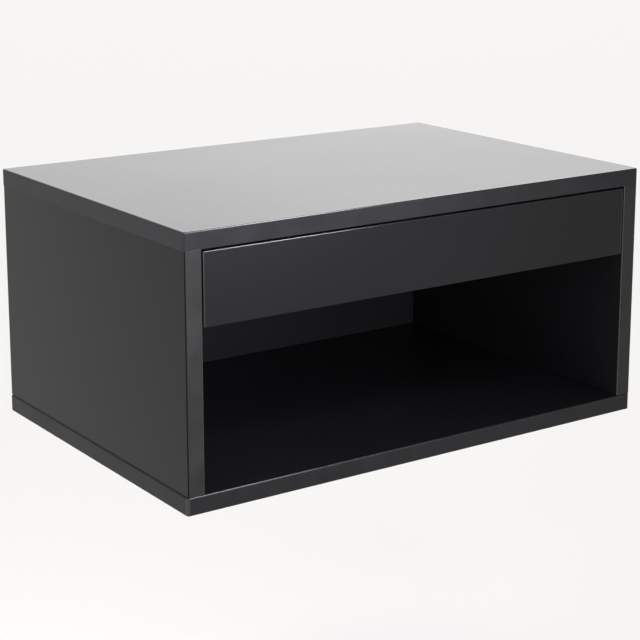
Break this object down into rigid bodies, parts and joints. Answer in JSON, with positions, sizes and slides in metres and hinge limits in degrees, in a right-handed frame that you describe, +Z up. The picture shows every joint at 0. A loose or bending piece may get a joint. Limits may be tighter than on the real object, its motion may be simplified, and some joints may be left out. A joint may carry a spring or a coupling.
{
  "type": "floating nightstand",
  "caption": "Wall-hung bedside cabinet in satin black lacquered board: a flush drawer on telescopic ball slides over an open shelf, with a full back panel that screws to the wall.",
  "frame": {"origin": "the middle of the rear face, on the wall", "axes": "+Z up, the front and the drawer's way out face -Y, +Y into the wall, +X to the right of someone facing the front"},
  "size_m": [0.5, 0.34, 0.24],
  "materials": {
    "lacquer": "satin black lacquer on smooth 16 mm board",
    "drawer_board": "matt black faced 12 mm board",
    "dowel_wood": "plain fluted beech",
    "slide_steel": "zinc-plated rolled strip",
    "cage_steel": "pressed steel cage with polished balls",
    "fitting_steel": "zinc-plated screws and bolts",
    "fitting_zinc": "die-cast zinc, as cast",
    "black_steel": "black oxide screws",
    "bumper_rubber": "matt black moulded rubber"
  },
  "bodies": {
    "cabinet": {"top_panel": "lacquer", "bottom_panel": "lacquer", "left_side_panel": "lacquer", "right_side_panel": "lacquer", "back_panel": "lacquer", "cam_bolt_left_front": "fitting_steel", "cam_lock_left_front": "fitting_zinc", "base_screw_left_front": "fitting_steel", "cam_bolt_left_rear": "fitting_steel", "cam_lock_left_rear": "fitting_zinc", "base_screw_left_rear": "fitting_steel", "side_dowel_left_top": "dowel_wood", "back_dowel_left_upper": "dowel_wood", "side_dowel_left_bottom": "dowel_wood", "back_dowel_left_lower": "dowel_wood", "cam_bolt_right_front": "fitting_steel", "cam_lock_right_front": "fitting_zinc", "base_screw_right_front": "fitting_steel", "cam_bolt_right_rear": "fitting_steel", "cam_lock_right_rear": "fitting_zinc", "base_screw_right_rear": "fitting_steel", "side_dowel_right_top": "dowel_wood", "back_dowel_right_upper": "dowel_wood", "side_dowel_right_bottom": "dowel_wood", "back_dowel_right_lower": "dowel_wood", "left_slide_cabinet_rail": "slide_steel", "left_slide_bumper": "bumper_rubber", "left_cabinet_rail_screw_front": "fitting_steel", "left_cabinet_rail_screw_rear": "fitting_steel", "right_slide_cabinet_rail": "slide_steel", "right_slide_bumper": "bumper_rubber", "right_cabinet_rail_screw_front": "fitting_steel", "right_cabinet_rail_screw_rear": "fitting_steel"},
    "drawer": {"drawer_front": "lacquer", "drawer_left_side": "drawer_board", "drawer_right_side": "drawer_board", "drawer_inner_front": "drawer_board", "drawer_back": "drawer_board", "drawer_bottom": "drawer_board", "drawer_front_screw_left": "black_steel", "drawer_front_screw_right": "black_steel", "left_slide_drawer_rail": "slide_steel", "left_drawer_rail_screw_front": "fitting_steel", "left_drawer_rail_screw_rear": "fitting_steel", "right_slide_drawer_rail": "slide_steel", "right_drawer_rail_screw_front": "fitting_steel", "right_drawer_rail_screw_rear": "fitting_steel"},
    "left_middle_rail": {"left_slide_middle_rail": "slide_steel"},
    "left_outer_cage": {"left_slide_outer_ball_cage": "cage_steel"},
    "left_inner_cage": {"left_slide_inner_ball_cage": "cage_steel"},
    "right_middle_rail": {"right_slide_middle_rail": "slide_steel"},
    "right_outer_cage": {"right_slide_outer_ball_cage": "cage_steel"},
    "right_inner_cage": {"right_slide_inner_ball_cage": "cage_steel"}
  },
  "joints": [
    {"name": "drawer_slide", "type": "slide", "parent": "cabinet", "child": "drawer", "axis": [0, -1, 0], "range_m": [0, 0.3]},
    {"name": "left_middle_rail_slide", "type": "slide", "parent": "cabinet", "child": "left_middle_rail", "axis": [0, -1, 0], "range_m": [0, 0.15]},
    {"name": "left_outer_cage_slide", "type": "slide", "parent": "cabinet", "child": "left_outer_cage", "axis": [0, -1, 0], "range_m": [0, 0.075]},
    {"name": "left_inner_cage_slide", "type": "slide", "parent": "cabinet", "child": "left_inner_cage", "axis": [0, -1, 0], "range_m": [0, 0.225]},
    {"name": "right_middle_rail_slide", "type": "slide", "parent": "cabinet", "child": "right_middle_rail", "axis": [0, -1, 0], "range_m": [0, 0.15]},
    {"name": "right_outer_cage_slide", "type": "slide", "parent": "cabinet", "child": "right_outer_cage", "axis": [0, -1, 0], "range_m": [0, 0.075]},
    {"name": "right_inner_cage_slide", "type": "slide", "parent": "cabinet", "child": "right_inner_cage", "axis": [0, -1, 0], "range_m": [0, 0.225]}
  ],
  "couplings": [
    {"joint": "left_middle_rail_slide", "follows": "drawer_slide", "ratio": 0.5},
    {"joint": "left_outer_cage_slide", "follows": "drawer_slide", "ratio": 0.25},
    {"joint": "left_inner_cage_slide", "follows": "drawer_slide", "ratio": 0.75},
    {"joint": "right_middle_rail_slide", "follows": "drawer_slide", "ratio": 0.5},
    {"joint": "right_outer_cage_slide", "follows": "drawer_slide", "ratio": 0.25},
    {"joint": "right_inner_cage_slide", "follows": "drawer_slide", "ratio": 0.75}
  ]
}
